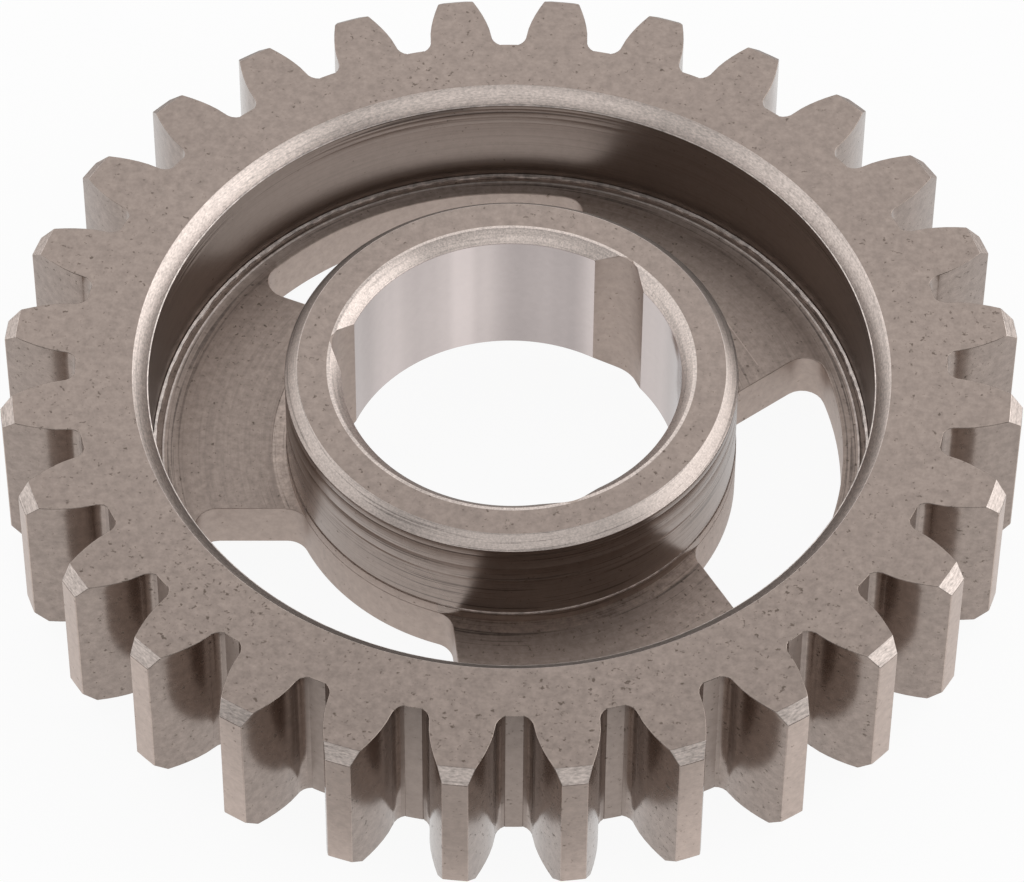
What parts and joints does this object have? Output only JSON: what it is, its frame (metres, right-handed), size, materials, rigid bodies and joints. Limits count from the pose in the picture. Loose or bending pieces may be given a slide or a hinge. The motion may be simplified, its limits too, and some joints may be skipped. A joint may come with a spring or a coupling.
{
  "type": "transmission gear",
  "caption": "Straight-toothed spur gear with a recessed web, kidney-shaped lightening windows and a long bore with lubrication grooves.",
  "frame": {"origin": "centre of the gear at its lower rim face", "axes": "+Z along the bore axis from the lower rim face to the upper face that shows the deep recess; +X through the middle of a tooth"},
  "size_m": [0.09, 0.09, 0.016],
  "materials": {
    "transmission_gear": "satin, turned and cut steel with fine dark pits"
  },
  "bodies": {
    "root": {"transmission_gear": "transmission_gear"}
  },
  "joints": []
}
